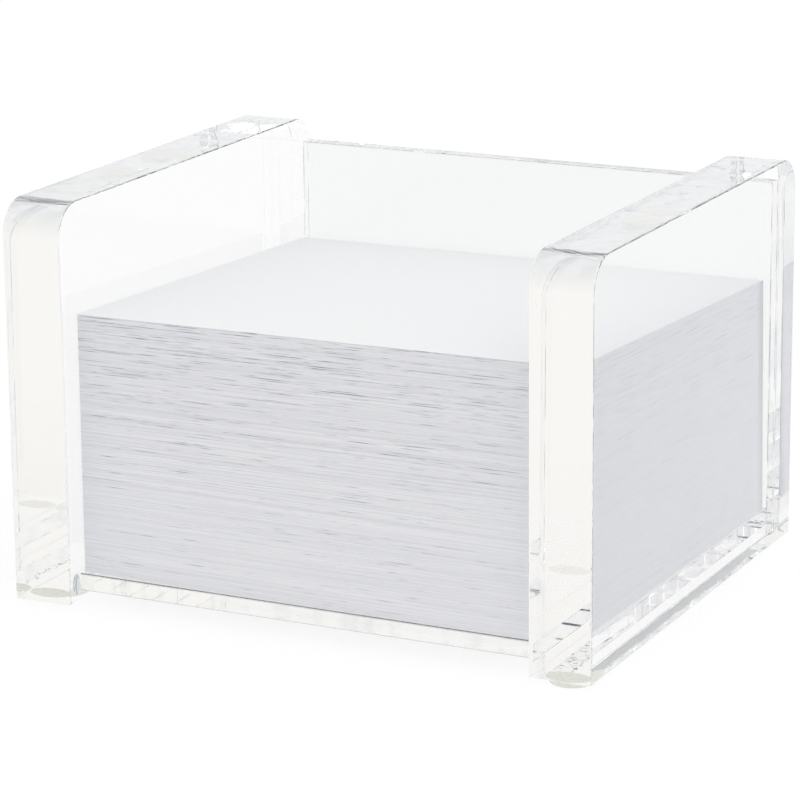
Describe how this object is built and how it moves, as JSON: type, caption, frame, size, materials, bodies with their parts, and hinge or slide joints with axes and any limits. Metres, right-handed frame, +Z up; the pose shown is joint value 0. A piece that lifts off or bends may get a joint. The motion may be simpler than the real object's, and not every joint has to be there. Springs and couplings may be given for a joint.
{
  "type": "memo sheet holder",
  "caption": "Clear acrylic tray on bumper feet with thick side panels, open at the front and top, holding a loose block of square note sheets.",
  "frame": {"origin": "on the surface the feet stand on, below the centre of the holder", "axes": "+X to the right seen from the open front, -Y out of the open front, +Z up"},
  "size_m": [0.1172, 0.099, 0.0771],
  "materials": {
    "thick_acrylic": "clear cast acrylic, flame polished edges",
    "thin_acrylic": "clear cast acrylic, polished edges",
    "adhesive": "cured clear adhesive with small voids",
    "bumper": "clear soft bumper",
    "note_paper": "uncoated white note paper"
  },
  "bodies": {
    "holder": {"left_side_panel": "thick_acrylic", "right_side_panel": "thick_acrylic", "base_plate": "thin_acrylic", "back_panel": "thin_acrylic", "base_left_bond": "adhesive", "base_right_bond": "adhesive", "base_back_bond": "adhesive", "back_left_bond": "adhesive", "back_right_bond": "adhesive", "foot_front_left": "bumper", "foot_front_right": "bumper", "foot_rear_left": "bumper", "foot_rear_right": "bumper"},
    "sheet_block": {"note_stack": "note_paper"},
    "loose_top_sheet": {"top_sheet": "note_paper"}
  },
  "joints": [
    {"name": "stack_lift", "type": "slide", "parent": "holder", "child": "sheet_block", "axis": [0, 0, 1], "range_m": [0, 0.075]},
    {"name": "top_sheet_slide", "type": "slide", "parent": "sheet_block", "child": "loose_top_sheet", "axis": [0, -0.999, 0.0444], "range_m": [0, 0.096]}
  ]
}
